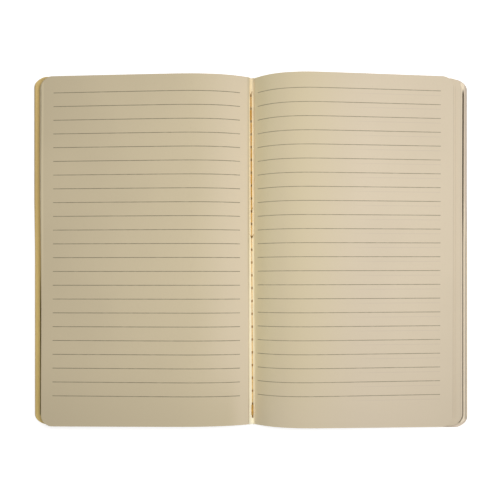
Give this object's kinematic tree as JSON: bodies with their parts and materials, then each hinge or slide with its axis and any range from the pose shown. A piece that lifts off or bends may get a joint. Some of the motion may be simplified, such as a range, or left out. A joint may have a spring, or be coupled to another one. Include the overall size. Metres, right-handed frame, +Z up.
{
  "type": "open composition notebook",
  "caption": "Soft-cover sewn notebook lying open at its centre spread, with ruled cream pages that arch up on both sides of the fold.",
  "frame": {"origin": "on the table under the middle of the opened cover, half way up the book; the fold is 0.9 mm to its right", "axes": "+X across the spread to the right page's fore-edge, +Y up the page to the head, +Z up from the table"},
  "size_m": [0.256, 0.2032, 0.016],
  "materials": {
    "cover_card": "uncoated card",
    "page_paper": "uncoated cream writing paper",
    "sewing_thread": "plied ochre thread"
  },
  "bodies": {
    "back_half": {"back_cover": "cover_card", "right_pages": "page_paper", "needle_thread": "sewing_thread", "bobbin_thread": "sewing_thread"},
    "front_half": {"front_cover": "cover_card", "left_pages": "page_paper"}
  },
  "joints": [
    {"name": "cover_fold", "type": "hinge", "parent": "back_half", "child": "front_half", "pos_m": [0.0009, 0, 0.003], "axis": [0, 1, 0], "range_deg": [0, 180], "deforming": ["left_pages", "right_pages"]}
  ]
}
